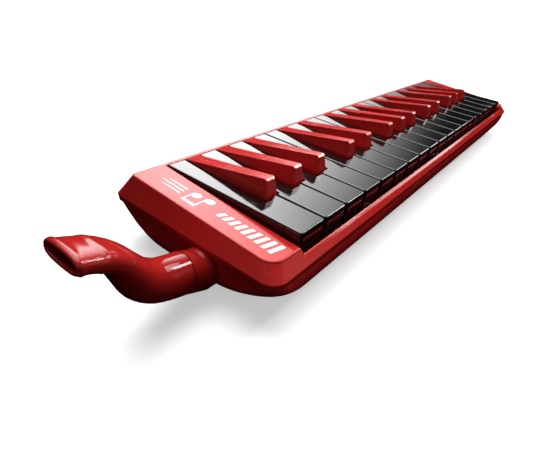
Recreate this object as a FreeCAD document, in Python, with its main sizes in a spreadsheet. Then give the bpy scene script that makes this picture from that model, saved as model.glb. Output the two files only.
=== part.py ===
import FreeCAD, Part
import math
import os
import Sketcher

# Melodica with 32 keys: 19 long keys and 13 raised keys.
# +X runs along the keyboard from the mouthpiece end to the high notes, +Y points away from the
# player, +Z is up.  The origin is on the table plane, under the middle of the casing.  Millimetres.

V = FreeCAD.Vector
doc = FreeCAD.newDocument("melodica")
sheet = doc.addObject("Spreadsheet::Sheet", "Sizes")

SIZES = [
    ("key_pitch", 20.0, "long key spacing"),
    ("long_key_count", 19, "long keys"),
    ("side_gap", 0.4, "half the gap between neighbouring long keys"),
    ("keys_front", -43.6, "front face of the long keys"),
    ("keys_rear", 40.1, "rear face of every key"),
    ("keys_top", 36.0, "top plane of the long keys"),
    ("keys_under", 28.0, "underside of every key behind the skirt"),
    ("skirt_under", 24.0, "lower edge of the long key skirt"),
    ("skirt_rear", -18.5, "rear end of the skirt"),
    ("skirt_wall", 1.6, "skirt thickness"),
    ("plate_thickness", 3.0, "top plate over the skirt"),
    ("edge_radius", 0.9, "rounded edges of the long keys"),
    ("corner_radius", 1.8, "upright front corners of the long keys"),
    ("raised_corner", 0.9, "upright front corners of the raised keys"),
    ("raised_front", -14.4, "front face of the raised keys at the long key plane"),
    ("raised_face_back", -12.9, "top of the raised key front face"),
    ("raised_nose", -11.6, "end of the chamfer on the raised key"),
    ("raised_top", 44.7, "highest point of a raised key"),
    ("raised_face_top", 43.8, "lower edge of that chamfer"),
    ("raised_base_width", 9.6, "raised key width at the long key plane"),
    ("raised_top_width", 6.3, "raised key width at its highest point"),
    ("flare", 6.0, "widest bevel beside a raised key"),
    ("flare_under", 34.6, "height where that bevel starts"),
    ("pivot_depth", 25.0, "pivot rod, along Y"),
    ("pivot_height", 26.5, "pivot rod, along Z"),
    ("rod_radius", 1.25, "pivot rod"),
    ("lug_bore", 1.30, "bore in each key"),
    ("lug_width", 5.0, "hinge lug"),
    ("pallet_width", 8.4, "pallet"),
    ("pallet_thick", 2.45, "pallet"),
    ("deck_top", 22.5, "top of the valve deck"),
    ("deck_under", 16.5, "underside of the valve deck"),
    ("deck_front", -17.5, "front of the valve deck"),
    ("deck_rear", 40.5, "rear of the valve deck"),
    ("deck_half", 191.0, "half length of the valve deck"),
    ("chamber_floor", 2.45, "underside of the air chamber"),
    ("chamber_wall", 2.0, "air chamber walls"),
    ("cover_half", 214.4, "half length of the casing at its widest"),
    ("cover_top_half", 210.0, "half length of the top face"),
    ("belt_front", -50.4, "front of the casing at its widest"),
    ("belt_rear", 51.5, "rear of the casing at its widest"),
    ("belt_height", 24.0, "height of the widest line"),
    ("part_line", 21.0, "joint between the two covers"),
    ("slot_half", 190.6, "half length of the keyboard opening"),
    ("slot_front", -46.3, "front edge of the keyboard opening"),
    ("slot_rear", 40.9, "rear edge of the keyboard opening"),
    ("top_front", -45.5, "front edge of the top face"),
    ("top_rear", 43.5, "rear edge of the top face"),
    ("top_slope", 3.53, "slope of the top face in degrees"),
    ("rail_height", 27.72, "front rail beside the keys, at the opening"),
    ("rail_slope", 31.0, "slope of the rail toward the player in degrees"),
    ("wall", 2.4, "cover walls"),
    ("post_x", 197.5, "screw posts"),
    ("post_front", -26.0, "front screw posts"),
    ("post_rear", 28.0, "rear screw posts"),
    ("pipe_y", -10.0, "mouthpiece centre, along Y"),
    ("boss_radius", 9.9, "inlet boss"),
    ("boss_height", 12.4, "inlet boss centre"),
    ("seam_x", -226.0, "seam between boss and mouthpiece"),
    ("seam_z", 15.8, "seam centre height"),
    ("seam_tilt", 14.0, "seam slope in degrees"),
    ("socket_radius", 6.85, "socket bore"),
    ("spigot_radius", 6.80, "mouthpiece spigot"),
    ("spigot_length", 14.0, "mouthpiece spigot"),
    ("drain_x", 181.0, "drain button"),
    ("drain_y", -9.0, "drain button"),
    ("drain_radius", 4.0, "drain button"),
]
sheet.set("A1", "value")
sheet.set("B1", "alias")
sheet.set("C1", "meaning")
for row, (alias, value, meaning) in enumerate(SIZES, start=2):
    sheet.set("A%d" % row, str(value))
    sheet.setAlias("A%d" % row, alias)
    sheet.set("B%d" % row, alias)
    sheet.set("C%d" % row, meaning)
doc.recompute()


def size(alias):
    return float(getattr(sheet, alias))


def new_body(name):
    made = doc.addObject("PartDesign::Body", name)
    made.Label = name
    return made


def sketch_on(body, plane, offset=0.0, place=None):
    """A sketch on one of the body's own origin planes, moved along that plane's normal."""
    made = body.newObject("Sketcher::SketchObject", "sketch")
    face = [f for f in body.Origin.OriginFeatures if f.Role == plane][0]
    made.AttachmentSupport = [(face, "")]
    made.MapMode = "FlatFace"
    if place is not None:
        made.AttachmentOffset = place
    elif isinstance(offset, str):
        made.setExpression(".AttachmentOffset.Base.z", offset)
    else:
        made.AttachmentOffset = FreeCAD.Placement(V(0, 0, offset), FreeCAD.Rotation())
    return made


def pin_point(sketch, geo, pos, along, value):
    """Holds a point's distance from the sketch origin: a number or an expression on the sheet."""
    first = value if not isinstance(value, str) else 1.0
    index = sketch.addConstraint(Sketcher.Constraint(along, -1, 1, geo, pos, first))
    if isinstance(value, str):
        sketch.setExpression("Constraints[%d]" % index, value)


def rectangle(sketch, x0, x1, y0, y1):
    n = sketch.GeometryCount
    corners = [V(0, 0, 0), V(1, 0, 0), V(1, 1, 0), V(0, 1, 0)]
    for i in range(4):
        sketch.addGeometry(Part.LineSegment(corners[i], corners[(i + 1) % 4]), False)
    for i in range(4):
        sketch.addConstraint(Sketcher.Constraint("Coincident", n + i, 2, n + (i + 1) % 4, 1))
    for i, kind in enumerate(("Horizontal", "Vertical", "Horizontal", "Vertical")):
        sketch.addConstraint(Sketcher.Constraint(kind, n + i))
    pin_point(sketch, n, 1, "DistanceX", x0)
    pin_point(sketch, n, 1, "DistanceY", y0)
    pin_point(sketch, n + 1, 2, "DistanceX", x1)
    pin_point(sketch, n + 1, 2, "DistanceY", y1)


def polygon(sketch, points):
    n = sketch.GeometryCount
    count = len(points)
    ends = [V(x, y, 0) for x, y in points]
    for i in range(count):
        sketch.addGeometry(Part.LineSegment(ends[i], ends[(i + 1) % count]), False)
    for i in range(count):
        sketch.addConstraint(Sketcher.Constraint("Coincident", n + i, 2, n + (i + 1) % count, 1))
    for i, (x, y) in enumerate(points):
        sketch.addConstraint(Sketcher.Constraint("DistanceX", -1, 1, n + i, 1, x))
        sketch.addConstraint(Sketcher.Constraint("DistanceY", -1, 1, n + i, 1, y))


def circle(sketch, x, y, radius):
    n = sketch.addGeometry(Part.Circle(V(0, 0, 0), V(0, 0, 1), 1.0), False)
    pin_point(sketch, n, 3, "DistanceX", x)
    pin_point(sketch, n, 3, "DistanceY", y)
    first = radius if not isinstance(radius, str) else 1.0
    index = sketch.addConstraint(Sketcher.Constraint("Radius", n, first))
    if isinstance(radius, str):
        sketch.setExpression("Constraints[%d]" % index, radius)


def round_rectangle(sketch, x0, x1, y0, y1, r):
    """Four sides joined by four arcs, the same eight edges at every size, so that lofts match up.
    r is one radius, or four: front left, front right, rear right, rear left."""
    radii = list(r) if isinstance(r, (list, tuple)) else [r] * 4
    centres = [
        V(x0 + radii[0], y0 + radii[0], 0), V(x1 - radii[1], y0 + radii[1], 0),
        V(x1 - radii[2], y1 - radii[2], 0), V(x0 + radii[3], y1 - radii[3], 0),
    ]
    starts = [math.pi, 1.5 * math.pi, 0.0, 0.5 * math.pi]
    n = sketch.GeometryCount
    for i in range(4):
        c, a, rad = centres[i], starts[i], radii[i]
        arc = Part.ArcOfCircle(Part.Circle(c, V(0, 0, 1), rad), a, a + 0.5 * math.pi)
        sketch.addGeometry(arc, False)
        b = a + 0.5 * math.pi
        nxt, rn = centres[(i + 1) % 4], radii[(i + 1) % 4]
        p = c + V(math.cos(b), math.sin(b), 0) * rad
        q = nxt + V(math.cos(b), math.sin(b), 0) * rn
        sketch.addGeometry(Part.LineSegment(p, q), False)
    for i in range(8):
        sketch.addConstraint(Sketcher.Constraint("Coincident", n + i, 2, n + (i + 1) % 8, 1))


def feature(body, kind, name="feature"):
    made = body.newObject("PartDesign::" + kind, name)
    body.Tip = made
    return made


def pad(body, sketch, length, midplane=False, reverse=False):
    made = feature(body, "Pad", "pad")
    made.Profile = sketch
    if isinstance(length, str):
        made.setExpression("Length", length)
    else:
        made.Length = length
    made.Midplane = midplane
    made.Reversed = reverse
    sketch.Visibility = False
    return made


def pocket(body, sketch, length=None, midplane=False, reverse=False):
    made = feature(body, "Pocket", "pocket")
    made.Profile = sketch
    if length is None:
        made.Type = 1
    elif isinstance(length, str):
        made.setExpression("Length", length)
    else:
        made.Length = length
    made.Midplane = midplane
    made.Reversed = reverse
    sketch.Visibility = False
    return made


def loft(body, sketches, cut=False, ruled=True):
    made = feature(body, "SubtractiveLoft" if cut else "AdditiveLoft", "loft")
    made.Profile = sketches[0]
    made.Sections = sketches[1:]
    made.Ruled = ruled
    return made


def edges_where(shape, test):
    names = []
    for i, edge in enumerate(shape.Edges, start=1):
        ends = [v.Point for v in edge.Vertexes]
        if len(ends) == 2 and all(test(p) for p in ends):
            names.append("Edge%d" % i)
    return names


def fillet(body, base, names, radius):
    made = feature(body, "Fillet", "fillet")
    made.Base = (base, names)
    if isinstance(radius, str):
        made.setExpression("Radius", radius)
    else:
        made.Radius = radius
    return made


nodes = {}


def keep(name, *parts):
    nodes[name] = list(parts)


# ---------------------------------------------------------------- keyboard layout
pitch = size("key_pitch")
left_end = -pitch * size("long_key_count") / 2.0
LONG_BLOCKS = [4, 3, 4, 3, 4, 1]
long_keys = []
raised_keys = []
start = left_end
for block in LONG_BLOCKS:
    if block == 1:
        long_keys.append((start, start, start + pitch))
        break
    step = block * pitch / (2 * block - 1)
    for i in range(block):
        long_keys.append((start + i * pitch, start + 2 * i * step, start + (2 * i + 1) * step))
        if i < block - 1:
            raised_keys.append((start + (2 * i + 1) * step, start + (2 * i + 2) * step))
    start += block * pitch
tail_centres = sorted([(a + b) / 2 for _, a, b in long_keys] + [(a + b) / 2 for a, b in raised_keys])

k_front, k_rear = size("keys_front"), size("keys_rear")
k_top, k_under = size("keys_top"), size("keys_under")
gap = size("side_gap")


def cut_outline(left, right, low, inset=0.0):
    """Plan of the cut-out for one raised key: straight sided low down, wider toward the player
    at the top."""
    beyond = k_rear + 2.0
    if low:
        left, right, front = left + inset, right - inset, -15.6 + inset
        return [(left, beyond), (left, front), (left + 4.0, front), (right - 1.3, front),
                (right, front + 1.0), (right, beyond)]
    wide = size("flare")
    return [(left, beyond), (left - wide, -16.9), (left + 1.9, -17.4), (left + 7.2, -14.8),
            (right + 0.9, -11.2), (right, beyond)]


def hinge_lug(body, middle):
    lug = sketch_on(body, "XY_Plane", "Sizes.pivot_height - 3")
    rectangle(lug, middle - size("lug_width") / 2, middle + size("lug_width") / 2,
              "Sizes.pivot_depth - 3", "Sizes.pivot_depth + 3")
    pad(body, lug, "Sizes.keys_under - Sizes.pivot_height + 3.1")
    foot = sketch_on(body, "XY_Plane", "Sizes.deck_top + 0.05 + Sizes.pallet_thick")
    rectangle(foot, middle - 3.4, middle + 3.4, "Sizes.keys_rear - 6.9", "Sizes.keys_rear - 0.6")
    pad(body, foot, "Sizes.keys_under + 0.1 - Sizes.deck_top - 0.05 - Sizes.pallet_thick")
    bore = sketch_on(body, "YZ_Plane")
    circle(bore, "Sizes.pivot_depth", "Sizes.pivot_height", "Sizes.lug_bore")
    pocket(body, bore, 90.0, midplane=True)


def pallet(name, middle, base_x):
    made = new_body(name + "_pallet")
    face = sketch_on(made, "XY_Plane", "Sizes.deck_top + 0.05")
    half = size("pallet_width") / 2
    rectangle(face, middle - half, middle + half, "Sizes.keys_rear - 7.2", "Sizes.keys_rear - 0.4")
    pad(made, face, "Sizes.pallet_thick")
    made.Placement = FreeCAD.Placement(V(base_x, 0, 0), FreeCAD.Rotation())
    return made


for number, (left, tail_left, tail_right) in enumerate(long_keys, start=1):
    name = "long_key_%02d" % number
    body = new_body(name)
    x0, x1 = gap, pitch - gap
    blank = sketch_on(body, "YZ_Plane", x0)
    polygon(blank, [(k_front, k_top), (k_front, size("skirt_under")),
                    (size("skirt_rear"), size("skirt_under")), (size("skirt_rear"), k_under),
                    (k_rear, k_under), (k_rear, k_top)])
    first = pad(body, blank, "Sizes.key_pitch - 2 * Sizes.side_gap")
    doc.recompute()

    corners = edges_where(first.Shape, lambda p: abs(p.y - k_front) < 0.01)
    upright = [n for n in corners if first.Shape.getElement(n).BoundBox.ZLength > 1]
    rounded = fillet(body, first, upright, "Sizes.corner_radius")
    doc.recompute()
    rim = edges_where(rounded.Shape, lambda p: abs(p.z - k_top) < 0.01)
    rim = [n for n in rim if rounded.Shape.getElement(n).BoundBox.YMin < k_rear - 1]
    fillet(body, rounded, rim, "Sizes.edge_radius")
    shell = sketch_on(body, "XY_Plane", "Sizes.skirt_under")
    rectangle(shell, x0 + size("skirt_wall"), x1 - size("skirt_wall"),
              "Sizes.keys_front + Sizes.skirt_wall", "Sizes.skirt_rear - Sizes.skirt_wall")
    pocket(body, shell, "Sizes.keys_top - Sizes.plate_thickness - Sizes.skirt_under", reverse=True)
    beside = [(a - left, b - left) for a, b in raised_keys if a < left + pitch and b > left]
    if beside:
        plan = sketch_on(body, "XY_Plane", "Sizes.keys_top + 5")
        for a, b in beside:
            low = cut_outline(a, b, True)
            if a < 1:
                low = [(-3.0, low[0][1]), (-3.0, low[3][1]), low[3], low[4], low[5]]
            elif b > pitch - 1:
                low = [low[0], low[1], low[3], (pitch + 3.0, low[3][1]), (pitch + 3.0, low[5][1])]
                if low[2][0] > pitch + 2.9:
                    low.pop(2)
            polygon(plan, low)
        pocket(body, plan)
        for a, b in beside:
            lower = sketch_on(body, "XY_Plane", "Sizes.flare_under")
            polygon(lower, cut_outline(a, b, True, 0.05))
            upper = sketch_on(body, "XY_Plane", "Sizes.keys_top + 0.02")
            polygon(upper, cut_outline(a, b, False))
            loft(body, [lower, upper], cut=True)
    middle = (tail_left + tail_right) / 2 - left
    hinge_lug(body, middle)
    body.Placement = FreeCAD.Placement(V(left, 0, 0), FreeCAD.Rotation())
    keep(name, body, pallet(name, middle, left))

for number, (left, right) in enumerate(raised_keys, start=1):
    name = "raised_key_%02d" % number
    body = new_body(name)
    side = sketch_on(body, "YZ_Plane")
    polygon(side, [(size("raised_front"), k_under - 1.0), (size("raised_front"), k_top),
                   (size("raised_face_back"), size("raised_face_top")),
                   (size("raised_nose"), size("raised_top")), (k_rear, k_top + 0.05),
                   (k_rear, k_under), (size("raised_front") + 4.0, k_under),
                   (size("raised_front") + 4.0, k_under - 1.0)])
    first = pad(body, side, "Sizes.raised_base_width", midplane=True)
    half, top_half = size("raised_base_width") / 2, size("raised_top_width") / 2
    rise = size("raised_top") - k_top
    drafts = sketch_on(body, "XZ_Plane", -12.0)
    for sign in (1, -1):
        lean = (half - top_half) / rise
        high = rise + 6.0
        polygon(drafts, [(sign * half, k_top), (sign * (half - lean * high), k_top + high),
                         (sign * (half + 5.0), k_top + high), (sign * (half + 5.0), k_top)])
    drafted = pocket(body, drafts, 140.0, midplane=True)
    doc.recompute()
    nose = edges_where(drafted.Shape, lambda p: p.y < size("raised_nose") + 0.01 and abs(p.x) > 1)
    sides = [n for n in nose if drafted.Shape.getElement(n).BoundBox.XLength < 3]
    sides = [n for n in sides if drafted.Shape.getElement(n).BoundBox.ZMax < size("raised_face_top") + 0.1]
    sides = [n for n in sides if drafted.Shape.getElement(n).BoundBox.ZLength > 2]
    fillet(body, drafted, sides, "Sizes.raised_corner")
    hinge_lug(body, 0.0)
    centre = (left + right) / 2
    body.Placement = FreeCAD.Placement(V(centre, 0, 0), FreeCAD.Rotation())
    keep(name, body, pallet(name, 0.0, centre))

# ---------------------------------------------------------------- pivot rod, saddles, springs
rod = new_body("pivot_rod")
face = sketch_on(rod, "YZ_Plane", -190.0)
circle(face, "Sizes.pivot_depth", "Sizes.pivot_height", "Sizes.rod_radius")
pad(rod, face, 380.0)
keep("pivot_rod", rod)

saddles = []
edges = sorted([left_end] + [b for _, a, b in long_keys[:-1]] + [b for a, b in raised_keys])
for number, x in enumerate(edges[4:-2:4] + [left_end + 0.5 * gap + 0.9]):
    made = new_body("rod_saddle_%d" % number)
    block = sketch_on(made, "XY_Plane", "Sizes.deck_top")
    half = 1.6 if number < len(edges[4:-2:4]) else 1.1
    rectangle(block, -half, half, "Sizes.pivot_depth - 4.5", "Sizes.pivot_depth + 4.5")
    pad(made, block, 4.8)
    hole = sketch_on(made, "YZ_Plane")
    circle(hole, "Sizes.pivot_depth", "Sizes.pivot_height", "Sizes.rod_radius + 0.02")
    pocket(made, hole, 12.0, midplane=True)
    made.Placement = FreeCAD.Placement(V(x, 0, 0), FreeCAD.Rotation())
    saddles.append(made)
last = new_body("rod_saddle_end")
block = sketch_on(last, "XY_Plane", "Sizes.deck_top")
rectangle(block, -2.0, 2.0, "Sizes.pivot_depth - 4.5", "Sizes.pivot_depth + 4.5")
pad(last, block, 4.8)
hole = sketch_on(last, "YZ_Plane")
circle(hole, "Sizes.pivot_depth", "Sizes.pivot_height", "Sizes.rod_radius + 0.02")
pocket(last, hole, 12.0, midplane=True)
last.Placement = FreeCAD.Placement(V(187.5, 0, 0), FreeCAD.Rotation())
keep("rod_saddles", *(saddles + [last]))

comb = new_body("spring_comb")
strip = sketch_on(comb, "XY_Plane", "Sizes.deck_top")
rectangle(strip, -188.0, 188.0, 6.0, 14.0)
pad(comb, strip, 0.4)
slope = math.atan2(4.35, 7.0)
place = FreeCAD.Placement(V(0, 13.6, size("deck_top")), FreeCAD.Rotation(V(1, 0, 0), math.degrees(slope)))
tongues = sketch_on(comb, "XY_Plane", place=place)
for x in tail_centres:
    rectangle(tongues, x - 1.5, x + 1.5, 0.0, 7.0 / math.cos(slope))
pad(comb, tongues, 0.4)
screw_xs = [-171.0 + 57.0 * i for i in range(7)]
holes = sketch_on(comb, "XY_Plane", "Sizes.deck_top + 3")
for x in screw_xs:
    circle(holes, x, 10.0, 1.1)
pocket(comb, holes, 6.0)
keep("spring_comb", comb)


def screw(name, x, y, head_z, head_r, head_h, shank_r, tip_z, up=False):
    """A pan-headed screw with a crossed slot, turned about Z; its head sits above its shank, or
    below it where up is set."""
    made = new_body(name)
    half = sketch_on(made, "XZ_Plane")
    s = -1.0 if up else 1.0
    polygon(half, [(0.0, head_z + s * head_h), (head_r * 0.7, head_z + s * head_h),
                   (head_r, head_z + s * head_h * 0.45), (head_r, head_z), (shank_r, head_z),
                   (shank_r, tip_z + s * 1.0), (0.3, tip_z), (0.0, tip_z)])
    turn = feature(made, "Revolution", "turn")
    turn.Profile = half
    turn.ReferenceAxis = (half, ["V_Axis"])
    turn.Angle = 360.0
    slot = sketch_on(made, "XY_Plane", head_z + s * head_h)
    arm, thick = head_r * 0.62, head_r * 0.11
    cross = [(thick, thick), (thick, arm), (-thick, arm), (-thick, thick), (-arm, thick),
             (-arm, -thick), (-thick, -thick), (-thick, -arm), (thick, -arm), (thick, -thick),
             (arm, -thick), (arm, thick)]
    polygon(slot, cross)
    pocket(made, slot, head_h * 0.55, reverse=up)
    made.Placement = FreeCAD.Placement(V(x, y, 0), FreeCAD.Rotation())
    return made


keep("comb_screws", *[screw("comb_screw_%d" % i, x, 10.0, size("deck_top") + 0.4, 2.0, 1.2, 1.0,
                            size("deck_top") - 1.9) for i, x in enumerate(screw_xs)])

for name, y0, y1, z0, z1 in (("long_key_felt", -42.4, -38.0, 17.2, 19.2),
                             ("raised_key_felt", -9.9, -3.9, size("deck_top"), 25.6)):
    felt = new_body(name)
    face = sketch_on(felt, "XY_Plane", z0)
    rectangle(face, -188.0, 188.0, y0, y1)
    pad(felt, face, z1 - z0)
    keep(name, felt)

# ---------------------------------------------------------------- valve deck and air chamber
deck = new_body("valve_deck")
plan = sketch_on(deck, "XY_Plane", "Sizes.deck_under")
rectangle(plan, "-Sizes.deck_half", "Sizes.deck_half", "Sizes.deck_front", "Sizes.deck_rear")
pad(deck, plan, "Sizes.deck_top - Sizes.deck_under")
ears = sketch_on(deck, "XY_Plane", "Sizes.deck_top - 2")
for sign in (1, -1):
    a, b = sorted((sign * 189.0, sign * 204.0))
    rectangle(ears, a, b, 22.0, 34.0)
pad(deck, ears, 2.0)
cells = sketch_on(deck, "XY_Plane", "Sizes.deck_under")
for x in tail_centres:
    rectangle(cells, x - 3.8, x + 3.8, 0.5, 38.2)
pocket(deck, cells, 4.0, reverse=True)
vents = sketch_on(deck, "XY_Plane", "Sizes.deck_top")
for x in tail_centres:
    rectangle(vents, x - 3.0, x + 3.0, 34.2, 37.8)
pocket(deck, vents, 3.0)
holes = sketch_on(deck, "XY_Plane", "Sizes.deck_top + 1")
for sign in (1, -1):
    circle(holes, sign * size("post_x"), size("post_rear"), 1.6)
pocket(deck, holes)
taps = sketch_on(deck, "XY_Plane", "Sizes.deck_top")
for x in screw_xs:
    circle(taps, x, 10.0, 1.0)
pocket(deck, taps, 1.95)
keep("valve_deck", deck)

gasket = new_body("chamber_gasket")
ring = sketch_on(gasket, "XY_Plane", "Sizes.deck_under - 0.6")
rectangle(ring, "-Sizes.deck_half", "Sizes.deck_half", "Sizes.deck_front", "Sizes.deck_rear")
rectangle(ring, "-Sizes.deck_half + Sizes.chamber_wall", "Sizes.deck_half - Sizes.chamber_wall",
          "Sizes.deck_front + Sizes.chamber_wall", "Sizes.deck_rear - Sizes.chamber_wall")
pad(gasket, ring, 0.6)
keep("chamber_gasket", gasket)

tray = new_body("air_chamber")
plan = sketch_on(tray, "XY_Plane", "Sizes.chamber_floor")
rectangle(plan, "-Sizes.deck_half", "Sizes.deck_half", "Sizes.deck_front", "Sizes.deck_rear")
block = pad(tray, plan, "Sizes.deck_under - 0.6 - Sizes.chamber_floor")
doc.recompute()
# The casing curves in low down at its rear, so the lower rear edge of the chamber is cut back.
low_rear = edges_where(block.Shape, lambda p: p.y > size("deck_rear") - 0.01
                       and p.z < size("chamber_floor") + 0.01)
cut_back = feature(tray, "Chamfer", "chamfer")
cut_back.Base = (block, low_rear)
cut_back.Size = 1.9
inside = sketch_on(tray, "XY_Plane", "Sizes.deck_under - 0.6")
rectangle(inside, "-Sizes.deck_half + Sizes.chamber_wall", "Sizes.deck_half - Sizes.chamber_wall",
          "Sizes.deck_front + Sizes.chamber_wall", "Sizes.deck_rear - Sizes.chamber_wall")
pocket(tray, inside, "Sizes.deck_under - 0.6 - Sizes.chamber_floor - Sizes.chamber_wall")
port = sketch_on(tray, "YZ_Plane", "-Sizes.deck_half - 1")
circle(port, -9.2, 11.0, 4.4)
pocket(tray, port, 4.0, reverse=True)
hole = sketch_on(tray, "XY_Plane", "Sizes.chamber_floor - 1")
circle(hole, "Sizes.drain_x", "Sizes.drain_y", "Sizes.drain_radius + 0.5")
pocket(tray, hole, 5.0, reverse=True)
keep("air_chamber", tray)

# Two brass plates; each reed is a thin tongue under its own slot, long for low notes.
reed_bounds = (tail_centres[15] + tail_centres[16]) / 2
plate_screw_xs = []
for half_name, span in (("low", (-187.0, reed_bounds - 0.5)), ("high", (reed_bounds + 0.5, 187.0))):
    mine = [x for x in tail_centres if span[0] < x < span[1]]
    plate = new_body("reed_plate_" + half_name)
    face = sketch_on(plate, "XY_Plane", "Sizes.deck_under - 1.5")
    rectangle(face, span[0], span[1], -3.0, 37.4)
    pad(plate, face, 1.5)
    slots = sketch_on(plate, "XY_Plane", "Sizes.deck_under + 1")
    reeds = []
    for x in mine:
        order = tail_centres.index(x)
        long = 30.0 - 0.52 * order
        rectangle(slots, x - 1.25, x + 1.25, 3.0, 3.0 + long)
        reed = new_body("reed_%02d" % (order + 1))
        leaf = sketch_on(reed, "XY_Plane", "Sizes.deck_under - 1.75")
        rectangle(leaf, -1.1, 1.1, -2.2, 2.6 + long)
        pad(reed, leaf, 0.25)
        reed.Placement = FreeCAD.Placement(V(x, 0, 0), FreeCAD.Rotation())
        reeds.append(reed)
    pocket(plate, slots, 5.0)
    holes = sketch_on(plate, "XY_Plane", "Sizes.deck_under + 1")
    gaps = [(mine[i] + mine[i + 1]) / 2 for i in (0, 5, 9, 14)]
    for x in gaps:
        circle(holes, x, -0.8, 0.85)
    pocket(plate, holes, 5.0)
    plate_screw_xs += gaps
    keep("reed_plate_" + half_name, plate)
    keep("reeds_" + half_name, *reeds)
drill = sketch_on(deck, "XY_Plane", "Sizes.deck_under")
for x in plate_screw_xs:
    circle(drill, x, -0.8, 0.8)
pocket(deck, drill, 3.5, reverse=True)
keep("reed_plate_screws", *[screw("plate_screw_%d" % i, x, -0.8, size("deck_under") - 1.5, 1.6, 1.0,
                                  0.8, size("deck_under") + 3.4, up=True)
                            for i, x in enumerate(plate_screw_xs)])

# ---------------------------------------------------------------- covers
half, top_half = size("cover_half"), size("cover_top_half")
b_front, b_rear, belt = size("belt_front"), size("belt_rear"), size("belt_height")
t_front, t_rear, tilt = size("top_front"), size("top_rear"), size("top_slope")
seam, wall = size("part_line"), size("wall")

top = new_body("top_cover")
levels = []
for z, inset, r in ((seam, 0.4, 8.0), (belt, 0.0, 8.0)):
    s = sketch_on(top, "XY_Plane", z)
    round_rectangle(s, -half + inset, half - inset, b_front + inset, b_rear - inset,
                    [r, r, 4.5, 4.5])
    levels.append(s)
middle_height = k_top - t_rear * math.tan(math.radians(tilt))
for drop, inset in ((0.75, 0.0), (0.2, 0.25), (0.0, 0.8)):
    place = FreeCAD.Placement(V(0, 0, middle_height - drop), FreeCAD.Rotation(V(1, 0, 0), tilt))
    s = sketch_on(top, "XY_Plane", place=place)
    round_rectangle(s, -top_half + inset, top_half - inset, t_front + inset, t_rear - inset,
                    [8.0 - inset, 8.0 - inset, 2.0 - inset, 2.0 - inset])
    levels.append(s)
loft(top, levels)
opening = sketch_on(top, "XY_Plane", 60.0)
rectangle(opening, "-Sizes.slot_half", "Sizes.slot_half", "Sizes.slot_front", "Sizes.slot_rear")
pocket(top, opening)
under = sketch_on(top, "XY_Plane", seam - 1.0)
rectangle(under, -210.4, 210.4, -43.6, 46.0)
pocket(top, under, 7.8, reverse=True)
# The bass and treble ends of the opening lean outward toward the player.
for sign in (1, -1):
    edge = sign * size("slot_half")
    wedges = []
    for y, wide in ((size("slot_rear") - 0.2, 0.1), (size("slot_front"), 3.3)):
        s = sketch_on(top, "XZ_Plane", -y)
        polygon(s, [(edge - sign * 1.0, 25.0), (edge, 25.0 + 4.0), (edge + sign * wide, k_top + 1.0),
                    (edge - sign * 1.0, k_top + 1.0)])
        wedges.append(s)
    loft(top, wedges, cut=True)
# Beside the keys the front rail is lower than the caps: a narrow band that leans to the player.
trim = sketch_on(top, "YZ_Plane")
inner, outer = size("slot_front") + 0.4, b_front - 2.0
fall = math.tan(math.radians(size("rail_slope")))
rail_top = size("rail_height") + 0.4 * fall
polygon(trim, [(inner, rail_top), (outer, rail_top - (inner - outer) * fall), (outer, k_top), (inner, k_top)])
pocket(top, trim, 2 * size("slot_half"), midplane=True)
posts = sketch_on(top, "XY_Plane", seam)
for sign in (1, -1):
    circle(posts, sign * size("post_x"), size("post_front"), 3.6)
pad(top, posts, 8.0)
posts = sketch_on(top, "XY_Plane", size("deck_top") + 0.05)
for sign in (1, -1):
    circle(posts, sign * size("post_x"), size("post_rear"), 3.6)
pad(top, posts, 6.0)
taps = sketch_on(top, "XY_Plane", seam - 1.0)
for sign in (1, -1):
    for y in ("Sizes.post_front", "Sizes.post_rear"):
        circle(taps, sign * size("post_x"), y, 1.2)
pocket(top, taps, 7.1, reverse=True)
arch = sketch_on(top, "YZ_Plane", -230.0)
circle(arch, "Sizes.pipe_y", "Sizes.boss_height", "Sizes.boss_radius + 0.05")
pocket(top, arch, 26.0, reverse=True)
clips = sketch_on(top, "XY_Plane", 17.0)
for x in (-120.0, 0.0, 120.0):
    rectangle(clips, x - 5.0, x + 5.0, -46.4, -45.0)
    rectangle(clips, x - 5.0, x + 5.0, 45.0, 46.4)
pad(top, clips, 6.0)
keep("top_cover", top)

bottom = new_body("bottom_cover")
# Height, inset at the ends, at the front and at the rear, corner radius.
OUTER_LEVELS = [(seam - 0.7, 0.7, 0.7, 0.75, 8.5), (11.0, 1.7, 1.4, 2.3, 22.0),
                (3.5, 5.0, 5.6, 6.7, 32.0), (0.0, 10.4, 7.8, 9.0, 28.0)]
INNER_LEVELS = [(seam + 1.0, 3.6, 2.8, 3.8, 6.5), (11.0, 4.4, 4.2, 5.25, 19.0),
                (3.5, 8.0, 8.6, 9.9, 29.0), (wall, 10.4, 9.6, 10.9, 29.0)]


def hull_sections(levels):
    sections = []
    for z, at_end, at_front, at_rear, r in levels:
        s = sketch_on(bottom, "XY_Plane", z)
        round_rectangle(s, -half + at_end, half - at_end, b_front + at_front,
                        b_rear - at_rear, [r, r, r * 0.8, r * 0.8])
        sections.append(s)
    return sections


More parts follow.
